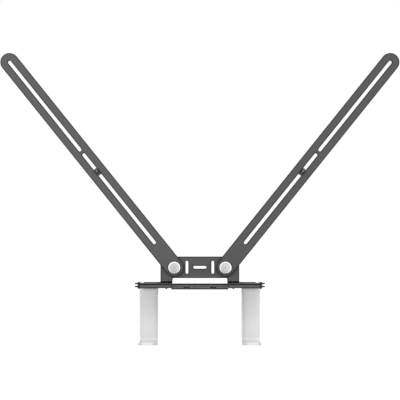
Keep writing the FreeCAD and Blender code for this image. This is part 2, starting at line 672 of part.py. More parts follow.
# Screws, spacer tubes and nuts that hold the tray under the flange: first the pair through the
# ears, then the countersunk pair beside the window. Last come the four that hold the hooks.
shelfStack = own.plateSheet + own.shelfGap + own.traySheet
sets = {"end_screws": [], "end_spacers": [], "end_nuts": [], "shelf_screws": [],
        "shelf_spacers": [], "shelf_nuts": [], "hook_screws": [], "hook_nuts": []}
for index, side in enumerate((-1, 1)):
    endX = endScrewSpacing / 2 * side
    endY = bandFront - endScrewPlace()
    screw = makeScrew("endScrew%d" % index, own.endScrewHead, own.endScrewHeadHeight,
                      own.endScrewDiameter, shelfStack + own.endNutHeight + own.threadEnd)
    place(screw, endX, endY, pivotHeight + flangeTop)
    sets["end_screws"].append(screw)
    bore = own.endScrewDiameter + own.screwClearance * 2
    tube = makeRing("endSpacer%d" % index, bore + own.spacerWall * 2, bore, own.shelfGap)
    place(tube, endX, endY, pivotHeight + trayTop)
    sets["end_spacers"].append(tube)
    nut = makeNut("endNut%d" % index, own.endNutFlats, own.endNutHeight, own.endScrewDiameter)
    place(nut, endX, endY, pivotHeight + trayBottom - own.endNutHeight)
    sets["end_nuts"].append(nut)

    shelfX = shelfScrewSpacing / 2 * side
    shelfY = bandFront - own.shelfScrewBack
    flat = newBody("shelfScrew%d" % index)
    radius = own.smallScrewHead / 2 - own.screwClearance
    thread = own.smallScrewDiameter / 2
    end = -(shelfStack + own.smallNutHeight + own.threadEnd)
    turned = Drawing(flat, "shelfScrewProfile%d" % index, "XZ_Plane")
    turned.polygon([(0, 0), (radius, 0), (thread, -(radius - thread)), (thread, end), (0, end)])
    revolve(flat, "shelfScrewTurned%d" % index, turned)
    cutSocket(flat, thread, 0, own.plateSheet / 2)
    place(flat, shelfX, shelfY, pivotHeight + flangeTop)
    sets["shelf_screws"].append(flat)
    bore = own.smallScrewDiameter + own.screwClearance * 2
    tube = makeRing("shelfSpacer%d" % index, bore + own.spacerWall * 2, bore, own.shelfGap)
    place(tube, shelfX, shelfY, pivotHeight + trayTop)
    sets["shelf_spacers"].append(tube)
    nut = makeNut("shelfNut%d" % index, own.smallNutFlats, own.smallNutHeight,
                  own.smallScrewDiameter)
    place(nut, shelfX, shelfY, pivotHeight + trayBottom - own.smallNutHeight)
    sets["shelf_nuts"].append(nut)

    for along in (-1, 1):
        tag = "%d%d" % (index, along + 1)
        hookX = hookSpacing / 2 * side + own.hookScrewSpacing / 2 * along
        hookY = bandFront - own.hookScrewBack
        strapBottom = pivotHeight + trayBottom - own.hookSheet
        screw = makeScrew("hookScrew" + tag, own.smallScrewHead, own.smallScrewHeadHeight,
                          own.smallScrewDiameter, own.traySheet + own.hookSheet
                          + own.smallNutHeight + own.threadEnd)
        place(screw, hookX, hookY, pivotHeight + trayTop)
        sets["hook_screws"].append(screw)
        nut = makeNut("hookNut" + tag, own.smallNutFlats, own.smallNutHeight,
                      own.smallScrewDiameter)
        place(nut, hookX, hookY, strapBottom - own.smallNutHeight)
        sets["hook_nuts"].append(nut)

for label, bodies in sets.items():
    nodes.append(group(label, bodies))

doc.recompute()
for thing in doc.Objects:
    if "Invalid" in thing.State or "Error" in thing.State:
        raise RuntimeError("%s failed: %s" % (thing.Label, thing.State))
for node in nodes:
    if node.Shape.isNull() or not node.Shape.isValid():
        raise RuntimeError("%s has no valid shape" % node.Label)

os.makedirs("parts", exist_ok=True)
for node in nodes:
    node.Shape.exportStep("parts/%s.step" % node.Label)
    print("%-20s %d solids %10.1f mm3" % (node.Label, len(node.Shape.Solids), node.Shape.Volume))
print("pivot height %.3f mm, band front %.3f mm" % (number(pivotHeight), number(bandFront)))
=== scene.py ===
import bpy, bmesh, json, math
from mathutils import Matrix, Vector


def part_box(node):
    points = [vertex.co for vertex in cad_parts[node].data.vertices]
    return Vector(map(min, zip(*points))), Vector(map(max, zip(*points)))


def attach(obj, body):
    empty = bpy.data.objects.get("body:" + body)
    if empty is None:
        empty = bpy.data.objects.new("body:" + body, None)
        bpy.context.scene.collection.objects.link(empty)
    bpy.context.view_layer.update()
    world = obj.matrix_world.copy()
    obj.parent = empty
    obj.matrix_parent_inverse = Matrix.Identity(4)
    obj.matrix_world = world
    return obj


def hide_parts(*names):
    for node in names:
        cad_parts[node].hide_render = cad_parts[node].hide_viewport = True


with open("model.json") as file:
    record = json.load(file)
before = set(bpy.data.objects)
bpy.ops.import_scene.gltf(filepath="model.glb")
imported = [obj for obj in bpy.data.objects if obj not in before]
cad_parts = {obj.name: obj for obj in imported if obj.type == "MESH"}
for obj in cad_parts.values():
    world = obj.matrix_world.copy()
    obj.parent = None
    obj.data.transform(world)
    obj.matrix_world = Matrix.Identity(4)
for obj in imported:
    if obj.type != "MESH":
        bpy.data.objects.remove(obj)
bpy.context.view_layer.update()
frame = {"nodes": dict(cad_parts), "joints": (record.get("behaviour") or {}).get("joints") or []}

joints = {joint["name"]: joint for joint in frame["joints"]}
pivotHeight = joints["left_arm_swing"]["pos_m"][2]
print("scene: frame loaded,", len(frame["nodes"]), "nodes")

# Camera

cameraSettings = {
    "distance": 1.43,       # from the arms' screen-side face
    "height": 0.1458,       # over the pivots
    "focal": 65.94,         # on a 36 mm sensor
    "drop": 0.0179,         # how far the picture's frame lies under the lens axis
    "aside": 0.0003,        # and to the right of it
}


def makeCamera(settings):
    data = bpy.data.cameras.new("camera")
    data.sensor_width = 36
    data.lens = settings["focal"]
    data.shift_x = settings["aside"]
    data.shift_y = -settings["drop"]
    data.clip_end = 50
    camera = bpy.data.objects.new("camera", data)
    camera.location = (0, -settings["distance"], pivotHeight + settings["height"])
    camera.rotation_euler = (math.radians(90), 0, 0)
    bpy.context.scene.collection.objects.link(camera)
    bpy.context.scene.camera = camera


makeCamera(cameraSettings)
print("scene: camera set")

# Shader maths: a wrapped socket that adds nodes when it is used in an expression


class Signal:
    def __init__(self, board, socket):
        self.board = board
        self.socket = socket

    def math(self, operation, *others):
        return self.board.add("ShaderNodeMath", {"operation": operation}, (self,) + others)

    def __add__(self, other):
        return self.math("ADD", other)

    def __sub__(self, other):
        return self.math("SUBTRACT", other)

    def __rsub__(self, other):
        return self.board.add("ShaderNodeMath", {"operation": "SUBTRACT"}, (other, self))

    def __rtruediv__(self, other):
        return self.board.add("ShaderNodeMath", {"operation": "DIVIDE"}, (other, self))

    def __mul__(self, other):
        return self.math("MULTIPLY", other)

    def __truediv__(self, other):
        return self.math("DIVIDE", other)

    __radd__ = __add__
    __rmul__ = __mul__

    def abs(self):
        return self.math("ABSOLUTE")

    def least(self, other):
        return self.math("MINIMUM", other)

    def most(self, other):
        return self.math("MAXIMUM", other)

    def between(self, low, high):
        return self.most(low).least(high)

    def root(self):
        return self.math("SQRT")

    def fade(self, start, stop):
        # 1 at start or before it, down to 0 at stop
        return 1 - self.board.add("ShaderNodeMapRange", {"interpolation_type": "SMOOTHSTEP"},
                                  {"Value": self, "From Min": start, "From Max": stop})


class Board:
    def __init__(self, name=None, tree=None):
        self.tree = tree
        if name:
            self.material = bpy.data.materials.new(name)
            self.material.use_nodes = True
            self.tree = self.material.node_tree
            self.tree.nodes.clear()
            self.output = self.tree.nodes.new("ShaderNodeOutputMaterial")

    def add(self, kind, settings=None, values=(), out=0):
        node = self.tree.nodes.new(kind)
        for key, value in (settings or {}).items():
            setattr(node, key, value)
        pairs = values.items() if isinstance(values, dict) else enumerate(values)
        for key, value in pairs:
            socket = node.inputs[key]
            if isinstance(value, Signal):
                self.tree.links.new(value.socket, socket)
            else:
                socket.default_value = value
        return Signal(self, node.outputs[out])

    def place(self):
        return self.add("ShaderNodeTexCoord", out="Object")

    def axes(self, vector):
        node = self.tree.nodes.new("ShaderNodeSeparateXYZ")
        self.tree.links.new(vector.socket, node.inputs[0])
        return [Signal(self, output) for output in node.outputs]

    def turned(self, centre, angle):
        # Object coordinates seen from centre, turned about Y by angle
        return self.add("ShaderNodeMapping", {"vector_type": "TEXTURE"},
                        {"Vector": self.place(), "Location": centre, "Rotation": (0, angle, 0)})

    def noise(self, scale, detail=2.0, vector=None, rough=0.5):
        return self.add("ShaderNodeTexNoise", None, {
            "Vector": vector or self.place(), "Scale": scale, "Detail": detail,
            "Roughness": rough})

    def mix(self, factor, first, second):
        node = self.tree.nodes.new("ShaderNodeMix")
        node.data_type = "RGBA"
        for index, value in ((0, factor), (6, first), (7, second)):
            socket = node.inputs[index]
            if isinstance(value, Signal):
                self.tree.links.new(value.socket, socket)
            elif index:
                socket.default_value = (*value, 1)
            else:
                socket.default_value = value
        return Signal(self, node.outputs[2])

    def scaled(self, colour, share):
        return self.add("ShaderNodeVectorMath", {"operation": "SCALE"},
                        {"Vector": colour, "Scale": share})

    def bump(self, height, strength, distance):
        return self.add("ShaderNodeBump", None, {
            "Strength": strength, "Distance": distance, "Height": height}, out="Normal")

    def finish(self, **values):
        shader = self.add("ShaderNodeBsdfPrincipled", None, {
            key.replace("_", " "): value for key, value in values.items()})
        self.tree.links.new(shader.socket, self.output.inputs["Surface"])
        return self.material


def grey(value):
    # Linear colour of a grey given as 0 to 255 in a picture
    share = value / 255
    linear = share / 12.92 if share < 0.04045 else ((share + 0.055) / 1.055) ** 2.4
    return (linear, linear, linear)


def capsule(across, along, low, high, radius):
    # Distance outside a round-ended bar that lies along one axis
    rest = along - along.between(low, high)
    return (across * across + rest * rest).root() - radius


# Turned and threaded forms, as geometry trees whose sizes are inputs


def newTree(name, sizes):
    tree = bpy.data.node_groups.new(name, "GeometryNodeTree")
    tree.interface.new_socket("Places", in_out="INPUT", socket_type="NodeSocketGeometry")
    for size in sizes:
        kind = "NodeSocketInt" if size.startswith("Rows") else "NodeSocketFloat"
        tree.interface.new_socket(size, in_out="INPUT", socket_type=kind)
    tree.interface.new_socket("Pieces", in_out="OUTPUT", socket_type="NodeSocketGeometry")
    board = Board(tree=tree)
    entry = tree.nodes.new("NodeGroupInput")
    return board, {output.name: Signal(board, output) for output in entry.outputs if output.name}


def rowSwitch(board, row, values):
    node = board.tree.nodes.new("GeometryNodeIndexSwitch")
    node.data_type = "FLOAT"
    while len(node.index_switch_items) < len(values):
        node.index_switch_items.new()
    board.tree.links.new(row.socket, node.inputs[0])
    for socket, value in zip(node.inputs[1:], values):
        if isinstance(value, Signal):
            board.tree.links.new(value.socket, socket)
        else:
            socket.default_value = value
    return Signal(board, node.outputs[0])


def wrap(board, around, rows, shape):
    # A grid rolled round Z: shape(row, turn) gives radius and height, turn runs from 0 to 1
    grid = board.add("GeometryNodeMeshGrid", None, {
        "Size X": around, "Size Y": rows - 1, "Vertices X": around + 1, "Vertices Y": rows})
    across, along, _ = board.axes(board.add("GeometryNodeInputPosition"))
    turn = across / around + 0.5
    row = along + (rows - 1) / 2
    radius, height = shape(row, turn)
    angle = turn * (2 * math.pi)
    spot = board.add("ShaderNodeCombineXYZ", None, (
        radius * angle.math("COSINE"), radius * angle.math("SINE"), height))
    moved = board.add("GeometryNodeSetPosition", None, {"Geometry": grid, "Position": spot})
    return board.add("GeometryNodeMergeByDistance", None, {"Geometry": moved, "Distance": 1e-6})


def sixSided(turn):
    # Radius of a hexagon over half its width across flats
    return 1 / ((turn * 6).math("FRACT") * (math.pi / 3) - math.pi / 6).math("COSINE")


def lathed(board, around, rings, liftFrom=None):
    # rings: radius, height, 1 where the ring is six-sided, 1 or -1 where its corners are cut back
    def shape(row, turn):
        step = (row + 0.5).math("FLOOR")
        six = rowSwitch(board, step, [float(ring[2]) for ring in rings])
        radius = rowSwitch(board, step, [ring[0] for ring in rings])
        radius = radius * (1 + six * (sixSided(turn) - 1))
        height = rowSwitch(board, step, [ring[1] for ring in rings])
        if liftFrom is not None:
            way = rowSwitch(board, step, [float(ring[3]) for ring in rings])
            height = height + way * (radius - liftFrom) * math.tan(math.radians(30))
        return radius, height
    return wrap(board, around, len(rings), shape)


def thread(board, around, rows, radius, start, length, pitch, depth):
    # Hangs from start below z = 0, with its free end bevelled
    def shape(row, turn):
        drop = start + ((row - 1) / (rows - 3)).between(0, 1) * (length - start)
        ridge = ((drop / pitch - turn).math("FRACT") * 2 - 1).abs()
        inside = (row - 0.5).math("SIGN").most(0) * (rows - 1.5 - row).math("SIGN").most(0)
        free = radius - depth + (length - drop)
        return (radius - depth * ridge).least(free) * inside, 0 - drop
    return wrap(board, around, rows, shape)


def closeTree(board, places, parts, turn, material):
    join = board.tree.nodes.new("GeometryNodeJoinGeometry")
    for part in parts:
        board.tree.links.new(part.socket, join.inputs[0])
    placed = board.add("GeometryNodeInstanceOnPoints", None, {
        "Points": places, "Instance": Signal(board, join.outputs[0]), "Rotation": turn})
    real = board.add("GeometryNodeRealizeInstances", None, {"Geometry": placed})
    coated = board.add("GeometryNodeSetMaterial", None, {"Geometry": real, "Material": material})
    out = board.tree.nodes.new("NodeGroupOutput")
    board.tree.links.new(coated.socket, out.inputs[0])
    return board.tree


def screwTree(name, around, turn, material):
    board, size = newTree(name, [
        "Head radius", "Head height", "Crown", "Foot radius", "Foot height", "Drive radius",
        "Drive depth", "Neck radius", "Neck length", "Thread radius", "Thread length",
        "Pitch", "Depth", "Rows of thread"])
    top = size["Head height"]
    floor = top - size["Drive depth"]
    drive = size["Drive radius"]

    def driveRing(share, height):
        return (drive * share, height, 1, 0)
    head = lathed(board, around, [
        (0.0, floor, 0, 0), driveRing(1.0, floor), driveRing(1.0, top - drive * 0.12),
        driveRing(1.1, top), (size["Head radius"] - size["Crown"], top, 0, 0),
        (size["Head radius"] - size["Crown"] * 0.3, top - size["Crown"] * 0.3, 0, 0),
        (size["Head radius"], top - size["Crown"], 0, 0),
        (size["Foot radius"], size["Foot height"], 0, 0), (0.0, size["Foot height"], 0, 0)])
    neck = lathed(board, around, [
        (0.0, 0.0, 0, 0), (size["Neck radius"], 0.0, 0, 0),
        (size["Neck radius"], 0 - size["Neck length"], 0, 0),
        (0.0, 0 - size["Neck length"], 0, 0)])
    screw = thread(board, around, size["Rows of thread"], size["Thread radius"],
                   size["Neck length"] - size["Pitch"] * 0.5, size["Thread length"],
                   size["Pitch"], size["Depth"])
    return closeTree(board, size["Places"], [head, neck, screw], turn, material)


def nutTree(name, around, turn, material):
    board, size = newTree(name, ["Half flats", "Height", "Bore radius"])
    rim = size["Half flats"] * 0.95
    nut = lathed(board, around, [
        (size["Bore radius"], 0.0, 0, 0), (rim, 0.0, 0, 0), (size["Half flats"], 0.0, 1, 1),
        (size["Half flats"], size["Height"], 1, -1), (rim, size["Height"], 0, 0),
        (size["Bore radius"], size["Height"], 0, 0), (size["Bore radius"], 0.0, 0, 0)], rim)
    return closeTree(board, size["Places"], [nut], turn, material)


def grown(name, tree, places, sizes, body, nodes):
    # Runs a tree on a few points and keeps the outcome as a plain mesh that stands for the nodes
    points = bpy.data.meshes.new(name + "Places")
    points.from_pydata(places, [], [])
    holder = bpy.data.objects.new(name + "Places", points)
    bpy.context.scene.collection.objects.link(holder)
    modifier = holder.modifiers.new(name, "NODES")
    modifier.node_group = tree
    for item in tree.interface.items_tree:
        if item.in_out == "INPUT" and item.name in sizes:
            modifier[item.identifier] = sizes[item.name]
    graph = bpy.context.evaluated_depsgraph_get()
    mesh = bpy.data.meshes.new_from_object(holder.evaluated_get(graph), depsgraph=graph)
    bpy.data.objects.remove(holder)
    mesh.name = name
    shape = bmesh.new()
    shape.from_mesh(mesh)
    bmesh.ops.remove_doubles(shape, verts=shape.verts, dist=1e-6)
    bmesh.ops.recalc_face_normals(shape, faces=shape.faces)
    shape.to_mesh(mesh)
    shape.free()
    mesh.shade_smooth()
    mesh.set_sharp_from_angle(angle=math.radians(32))
    piece = bpy.data.objects.new(name, mesh)
    bpy.context.scene.collection.objects.link(piece)
    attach(piece, body)
    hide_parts(*nodes)
    print("scene:", name, len(mesh.polygons), "faces")
    return piece

# Fasteners: heads, seats and lengths in millimetres, as they stand in the frame

fasteners = {
    "pivotBolts": {"diameter": 8, "head": 23.5, "headHeight": 2.0, "crown": 0.3, "drive": 1.8,
                   "driveDepth": 0.4, "neck": 10.0, "around": 64},
    "screenScrews": {"diameter": 6, "head": 12.0, "headHeight": 4.0, "crown": 1.0, "drive": 4.0,
                     "driveDepth": 2.0, "neck": 5.2, "around": 36},
    "endScrews": {"diameter": 3, "head": 5.5, "headHeight": 1.9, "crown": 0.7, "drive": 2.0,
                  "driveDepth": 1.1, "around": 30},
    "shelfScrews": {"diameter": 4, "head": 7.6, "headHeight": 0.0, "crown": 0.0, "drive": 2.5,
                    "driveDepth": 1.3, "foot": 4.0, "around": 30},
    "hookScrews": {"diameter": 4, "head": 8.0, "headHeight": 2.3, "crown": 0.9, "drive": 2.5,
                   "driveDepth": 1.3, "around": 30},
    "nuts": {3: (5.5, 2.4), 4: (7.0, 3.2), 8: (13.0, 6.5)},     # across flats, and height
    "nutAround": 48,
    "pitches": {3: 0.5, 4: 0.7, 6: 1.0, 8: 1.25},
    "threadDepth": 0.58,        # share of the pitch
    "rowsPerTurn": 6,
    "hookScrewGap": 16.0,
    "threadStart": 0.5,         # how far a screen screw's neck stands out of the arm
    "neckLength": 0.4,          # of the other screws
}
facingScreen = (math.radians(90), 0, 0)
facingWall = (math.radians(-90), 0, 0)


def spread(node, radius, gap=0.0):
    # Where the fasteners of one node stand: x of each on both sides, and their middle y
    low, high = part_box(node)
    outer = max(abs(low.x), abs(high.x)) - radius
    across = [outer, outer - gap] if gap else [outer]
    return [side * x for x in across for side in (-1, 1)], (low.y + high.y) / 2


def makeScrews(name, kind, places, length, body, nodes, turn, material, neckLength=None):
    plan = fasteners[kind]
    neckLength = neckLength or fasteners["neckLength"]
    pitch = fasteners["pitches"][plan["diameter"]]
    radius = plan["diameter"] / 2
    sizes = {
        "Head radius": plan["head"] / 2, "Head height": plan["headHeight"],
        "Crown": plan["crown"], "Foot radius": plan.get("foot", plan["head"]) / 2,
        "Foot height": (plan.get("foot", plan["head"]) - plan["head"]) / 2,
        "Drive radius": plan["drive"] / 2, "Drive depth": plan["driveDepth"],
        "Neck radius": plan.get("neck", radius * 1.98) / 2, "Neck length": neckLength,
        "Thread radius": radius, "Thread length": length, "Pitch": pitch,
        "Depth": pitch * fasteners["threadDepth"],
    }
    sizes = {key: value / 1000 for key, value in sizes.items()}
    turns = round((length - neckLength) / pitch)
    sizes["Rows of thread"] = turns * fasteners["rowsPerTurn"] + 3
    tree = screwTree(name + "Tree", plan["around"], turn, material)
    return grown(name, tree, places, sizes, body, nodes)


def makeNuts(name, nodes, places, bore, turn, material):
    flats, height = fasteners["nuts"][bore]
    sizes = {"Half flats": flats / 2000, "Height": height / 1000, "Bore radius": bore / 2000}
    tree = nutTree(name + "Tree", fasteners["nutAround"], turn, material)
    return grown(name, tree, places, sizes, "bracket", nodes)


def makeFasteners(finish):
    low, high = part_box("left_pivot_bolt")
    seat = low.y + fasteners["pivotBolts"]["headHeight"] / 1000
    across = [side * (low.x + high.x) / 2 for side in (1, -1)]
    neck = (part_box("left_pivot_washer")[1].y - seat) * 1000
    makeScrews("pivot_bolts", "pivotBolts", [(x, seat, pivotHeight) for x in across],
               (high.y - seat) * 1000, "bracket", ["left_pivot_bolt", "right_pivot_bolt"],
               facingScreen, finish["bright_steel"], neck)
    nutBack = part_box("left_pivot_nut")[0].y
    makeNuts("pivot_nuts", ["left_pivot_nut", "right_pivot_nut"],
             [(x, nutBack, pivotHeight) for x in across], 8, facingWall, finish["zinc_steel"])

    for side in ("left", "right"):
        node = side + "_screen_screw"
        low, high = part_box(node)
        seat = high.y - fasteners["screenScrews"]["headHeight"] / 1000
        place = ((low.x + high.x) / 2, seat, (low.z + high.z) / 2)
        makeScrews(node + "_cut", "screenScrews", [place], (seat - low.y) * 1000,
                   side + "_screw", [node], facingWall, finish["oiled_thread"],
                   seat * 1000 + fasteners["threadStart"])

    for kind, gap in (("end", 0.0), ("shelf", 0.0), ("hook", fasteners["hookScrewGap"])):
        node = kind + "_screws"
        plan = fasteners[kind + "Screws"]
        low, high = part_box(node)
        seat = high.z - plan["headHeight"] / 1000
        across, along = spread(node, plan["head"] / 2000, gap / 1000)
        makeScrews(node + "_cut", kind + "Screws", [(x, along, seat) for x in across],
                   (seat - low.z) * 1000, "bracket", [node], (0, 0, 0), finish["black_steel"])
        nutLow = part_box(kind + "_nuts")[0].z
        makeNuts(kind + "_nuts_cut", [kind + "_nuts"], [(x, along, nutLow) for x in across],
                 plan["diameter"], (0, 0, 0), finish["black_steel"])


# Finishes

coatSettings = {
    # The left arm is painted a little paler than the right: painted light from the left
    "leftArmTone": 102,         # grey of the dark coats, 0 to 255
    "rightArmTone": 97,
    "plateTone": 101,
    # The washers' tone is paler than the arms': painted light against the shadow in the arms'
    # slots
    "washerTone": 124,
    "trayTone": 116,
    "footLift": 0.42,           # how much paler the plate's feet are than its band: painted light against the shade of the arms and the flange
    "darkGloss": 0.05,
    # Grey of the painted shade in folds, under parts and on cut faces in shadow
    "paintedShadeTone": 4,
    "edgeShare": 0.36,          # how much of the tone is left in the painted shade along an edge
    "edgeWidth": 0.0023,
    "paleTone": 221,
    "paleTop": 0.86,            # share of the pale tone at a hook's top, as painted shade under the shelf, and at its foot, as painted light
    "paleFoot": 1.16,
    "grain": 1500,              # fine texture of the powder coat
}


# Where the coats change, in metres from the pivots' height and the arms' screen-side face

armPlan = {
    "pivot": 0.05,
    "screwAside": 0.15,         # from an arm's pivot out to its screw
    "length": 0.514,
    "width": 0.036,
    "slot": 0.0065,
    "slotStart": 0.0625,
    "slotMiddle": 0.28175,
    "slotNext": 0.29475,
    "head": 0.0235,             # pivot head, with the painted shadow ring round it
}
platePlan = {
    "face": 0.00405,            # y of the plate's front face
    "halfWidth": 0.0771,
    "halfHeight": 0.021,
    "slotReach": 0.0101,        # middle of a slot to the centre of its round end
    "slotRadius": 0.00265,
    "slotAside": 0.0253,
    "window": 0.0536,           # half its width, which is also half the tongue's
    "foldStart": 0.0528,
    "foldEnd": 0.0836,
    "foldHeight": -0.0271,
    "foldDepth": 0.0285,
    "flangeFront": 0.0345,
    "flangeMiddle": -0.029,
    "frontDark": 0.9,
    "pale": (0.006, 0.026),     # how far down the feet turn paler with painted light, from and to
    "foot": 0.0268,
}
trayPlan = {
    "halfWidth": 0.1153,
    "front": -0.0519,           # world y of the tongue's front edge
    "tongue": 0.0557,
    # The Dark shares give how much painted shade darkens each place
    "tongueDark": 0.7,
    "slotFrom": -0.0455,
    "slotTo": -0.04,
    "slotRadius": 0.0055,
    "lip": 0.0385,
    "lipTop": 0.0302,
    "lipFoot": 0.0335,
    "lipDark": 0.7,
    "gap": 0.017,
    "gapDark": 0.75,
    "ear": 0.116,
    "earDark": 0.45,
}
hookPlan = {
    "middle": 0.0975,
    "half": 0.0178,
    "foot": 0.141,
    "legHeight": 0.1,
    "top": 0.0395,              # down to here the bend under the tray is painted paler, as painted light against the tray's shade
    "topShare": 1.25,
    "outward": (0.095, 0.05),   # how much paler outwards at the top as painted light, and what the foot loses
    "edge": (0.26, 0.16),       # the same painted light for the outer edge
    "leg": 0.045,
    # A painted highlight on the band where the leg bends forward and on the lip face; painted
    # shade on the lip corners
    "bandTop": 0.1315,
    "bandLow": 0.135,
    "bandShare": 0.14,
    "lipTop": 0.1345,
    "lipShare": 0.08,
    "corner": 0.0172,
    "outerPaintedShade": 0.37,
    "innerPaintedShade": 0.27,
}


def darkCoat(name, tone, distance=None, shade=None, lift=None):
    # distance(board): metres from the nearest cut edge, for the darker line of painted shade
    # along it
    # shade(board): 1 where painted shade makes the coat darkest, in folds, deep under the flange
    # and on bare cut faces in shadow
    # lift(board): share of the tone, above 1 where painted light makes the coat paler
    board = Board(name)
    body = grey(coatSettings[tone])
    cloud = board.noise(14, 3)
    fine = board.noise(coatSettings["grain"], 2, rough=0.6)
    light = tuple(value * 1.08 for value in body)
    dim = tuple(value * 0.9 for value in body)
    colour = board.mix(cloud * 0.6 + fine * 0.4, dim, light)
    # Painted light: the tone raised where lift gives more than 1
    if lift is not None:
        colour = board.scaled(colour, lift(board))
    roughness = 0.6 + fine * 0.14
    if distance is not None:
        # Painted shade: a darker line along each cut edge, and round the pivot heads
        reach = distance(board) + (board.noise(260, 2) - 0.5) * 0.0005
        edge = reach.fade(coatSettings["edgeWidth"] * 0.55, coatSettings["edgeWidth"])
        edgeShadeColour = tuple(value * coatSettings["edgeShare"] for value in body)
        colour = board.mix(edge, colour, edgeShadeColour)
        roughness = roughness - edge * 0.12
    # Painted shade where shade(board) gives 1
    if shade is not None:
        colour = board.mix(shade(board), colour, grey(coatSettings["paintedShadeTone"]))
    bump = board.bump(fine + board.noise(420, 2) * 0.7, 0.25, 0.00012)
    return board.finish(Base_Color=colour, Roughness=roughness, Normal=bump,
                        Specular_IOR_Level=coatSettings["darkGloss"])


def rectangleReach(x, z, left, right, low, high):
    # Distance inside a rectangle from its nearest side
    return (x - left).least(right - x).least((z - low).least(high - z))


def earShade(x):
    # Painted shade on the ears at the shelf's ends
    return (1 - (x.abs() - trayPlan["ear"]).fade(-0.0006, 0.0006)) * trayPlan["earDark"]


def armCoat(side):
    plan = armPlan
    lean = math.atan2(plan["screwAside"], -pivotHeight) * side

    # Painted shade along the arm's rim and slots, and a painted shadow ring round the pivot head
    def distance(board):
        x, y, z = board.axes(board.turned((plan["pivot"] * side, 0, pivotHeight), lean))
        rim = 0 - capsule(x, z, 0, plan["length"], plan["width"] / 2)
        inner = capsule(x, z, plan["slotStart"], plan["slotMiddle"], plan["slot"] / 2)
        outer = capsule(x, z, plan["slotNext"], plan["length"], plan["slot"] / 2)
        head = (x * x + z * z).root() - plan["head"] / 2
        return rim.least(inner).least(outer).least(head)
    name = "leftArm" if side < 0 else "rightArm"
    return darkCoat(name + "Coat", name + "Tone", distance)


def plateCoat():
    plan = platePlan

    # Painted shade along the band's edges, round the window and along the slots
    def distance(board):
        x, y, z = board.axes(board.turned((0, 0, pivotHeight), 0))
        wide = x.abs()
        band = rectangleReach(wide, z, -1.0, plan["halfWidth"], -0.06, plan["halfHeight"])
        beside = (wide - plan["window"]).most(0)
        over = (z + plan["halfHeight"]).most(0)
        window = (beside * beside + over * over).root()
        reach, radius = plan["slotReach"], plan["slotRadius"]
        upright = capsule(wide - plan["slotAside"], z, -reach, reach, radius)
        level = capsule(z, x, -reach, reach, radius)
        return band.least(window).least(upright).least(level)

    def shade(board):
        # Painted shade: the fold under each foot, the flange's front edge and the ears
        x, y, z = board.axes(board.turned((0, plan["face"], pivotHeight), 0))
        wide = x.abs()
        foot = (wide - plan["foldEnd"]).fade(0, 0.0034)
        foot = foot * (plan["foldStart"] - wide).fade(0, 0.0008)
        fold = foot * (z - plan["foldHeight"]).fade(-0.0004, 0.0006)
        fold = fold * (0 - y - plan["foldDepth"]).fade(-0.0035, 0)
        front = (y + plan["flangeFront"]).fade(-0.0002, 0.0002)
        front = front * (z - plan["flangeMiddle"]).fade(-0.0003, 0.0004) * plan["frontDark"]
        return fold.most(front).most(earShade(x))

    # Painted light: the feet paler than the band, against the shade of the arms and the flange
    def lift(board):
        x, y, z = board.axes(board.turned((0, 0, pivotHeight), 0))
        low = (1 - (0 - z).fade(*plan["pale"])) * (0 - z - plan["foot"]).fade(0, 0.001)
        return 1 + low * coatSettings["footLift"]
    return darkCoat("plateCoat", "plateTone", distance, shade, lift)


def trayCoat():
    plan = trayPlan

    # Painted shade along the tray's outer edges
    def distance(board):
        x, y, z = board.axes(board.place())
        return rectangleReach(x.abs(), y, -1.0, plan["halfWidth"], plan["front"], 1.0)

    def shade(board):
        # Painted shade: the tongue's front edge and slots, the top rims and lower parts of the
        # turned-up edges, the plate behind them where it lies deep under the flange, and the ears
        x, y, z = board.axes(board.turned((0, platePlan["face"], pivotHeight), 0))
        wide = x.abs()
        window = platePlan["window"]
        tongue = (y + plan["tongue"]).fade(-0.0002, 0.0002) * plan["tongueDark"]
        slot = capsule(wide - platePlan["slotAside"], y, plan["slotFrom"], plan["slotTo"],
                       plan["slotRadius"]).fade(0.0002, 0.0006)
        front = (y + plan["lip"]).fade(-0.001, 0.001)
        top = 1 - (z + plan["lipTop"]).fade(-0.0003, 0.0002)
        foot = (z + plan["lipFoot"]).fade(-0.0015, 0.003) * plan["lipDark"]
        lip = front * top.most(foot) * (window - wide).fade(0, 0.0004)
        gap = (0 - y - plan["gap"]).fade(-0.007, 0) * (wide - window).fade(-0.0006, 0)
        gap = gap * plan["gapDark"]
        return tongue.most(slot).most(lip).most(gap).most(earShade(x))
    return darkCoat("trayCoat", "trayTone", distance, shade)


